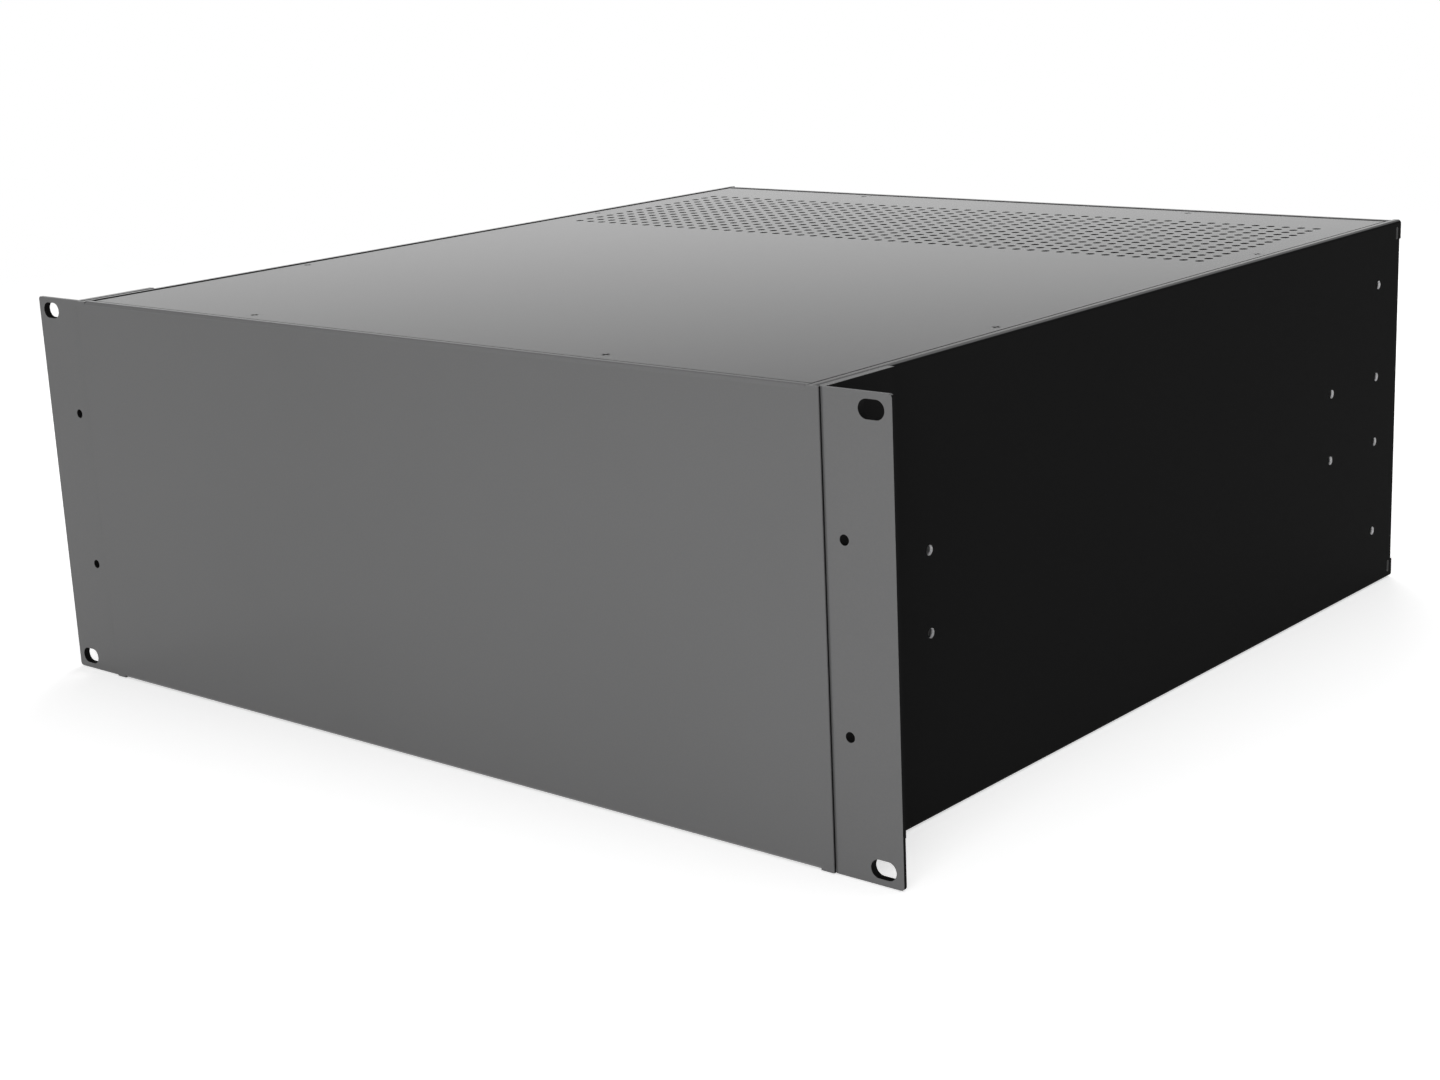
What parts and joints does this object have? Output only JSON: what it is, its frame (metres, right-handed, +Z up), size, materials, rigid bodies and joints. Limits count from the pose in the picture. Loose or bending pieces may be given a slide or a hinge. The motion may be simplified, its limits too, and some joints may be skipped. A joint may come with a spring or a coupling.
{
  "type": "rackmount chassis",
  "caption": "Low, wide rackmount chassis of folded sheet steel with slotted ears, inset screwed covers and a field of vent holes at the rear of the top, made to house equipment in a rack.",
  "frame": {"origin": "middle of the underside", "axes": "+X to the right seen from the front, the front panel faces -Y, +Z up"},
  "size_m": [0.4826, 0.4572, 0.177],
  "materials": {
    "grey_paint": "fine textured grey powder coat on steel sheet",
    "black_paint": "fine textured black powder coat on steel sheet",
    "grey_screw": "grey powder coat over steel, as on the covers",
    "zinc_steel": "bright zinc plated steel"
  },
  "bodies": {
    "root": {"front_panel": "grey_paint", "right_rack_ear": "grey_paint", "left_rack_ear": "grey_paint", "top_cover": "grey_paint", "bottom_cover": "grey_paint", "right_side_wall": "black_paint", "left_side_wall": "black_paint", "rear_panel": "black_paint", "top_cover_screws": "grey_screw", "bottom_cover_screws": "grey_screw", "top_cover_nuts": "zinc_steel", "bottom_cover_nuts": "zinc_steel", "rear_panel_screws": "zinc_steel", "rear_panel_nuts": "zinc_steel", "front_panel_studs": "zinc_steel", "front_panel_washers": "zinc_steel", "front_panel_nuts": "zinc_steel", "right_ear_screws": "zinc_steel", "left_ear_screws": "zinc_steel", "right_ear_nuts": "zinc_steel", "left_ear_nuts": "zinc_steel"}
  },
  "joints": []
}
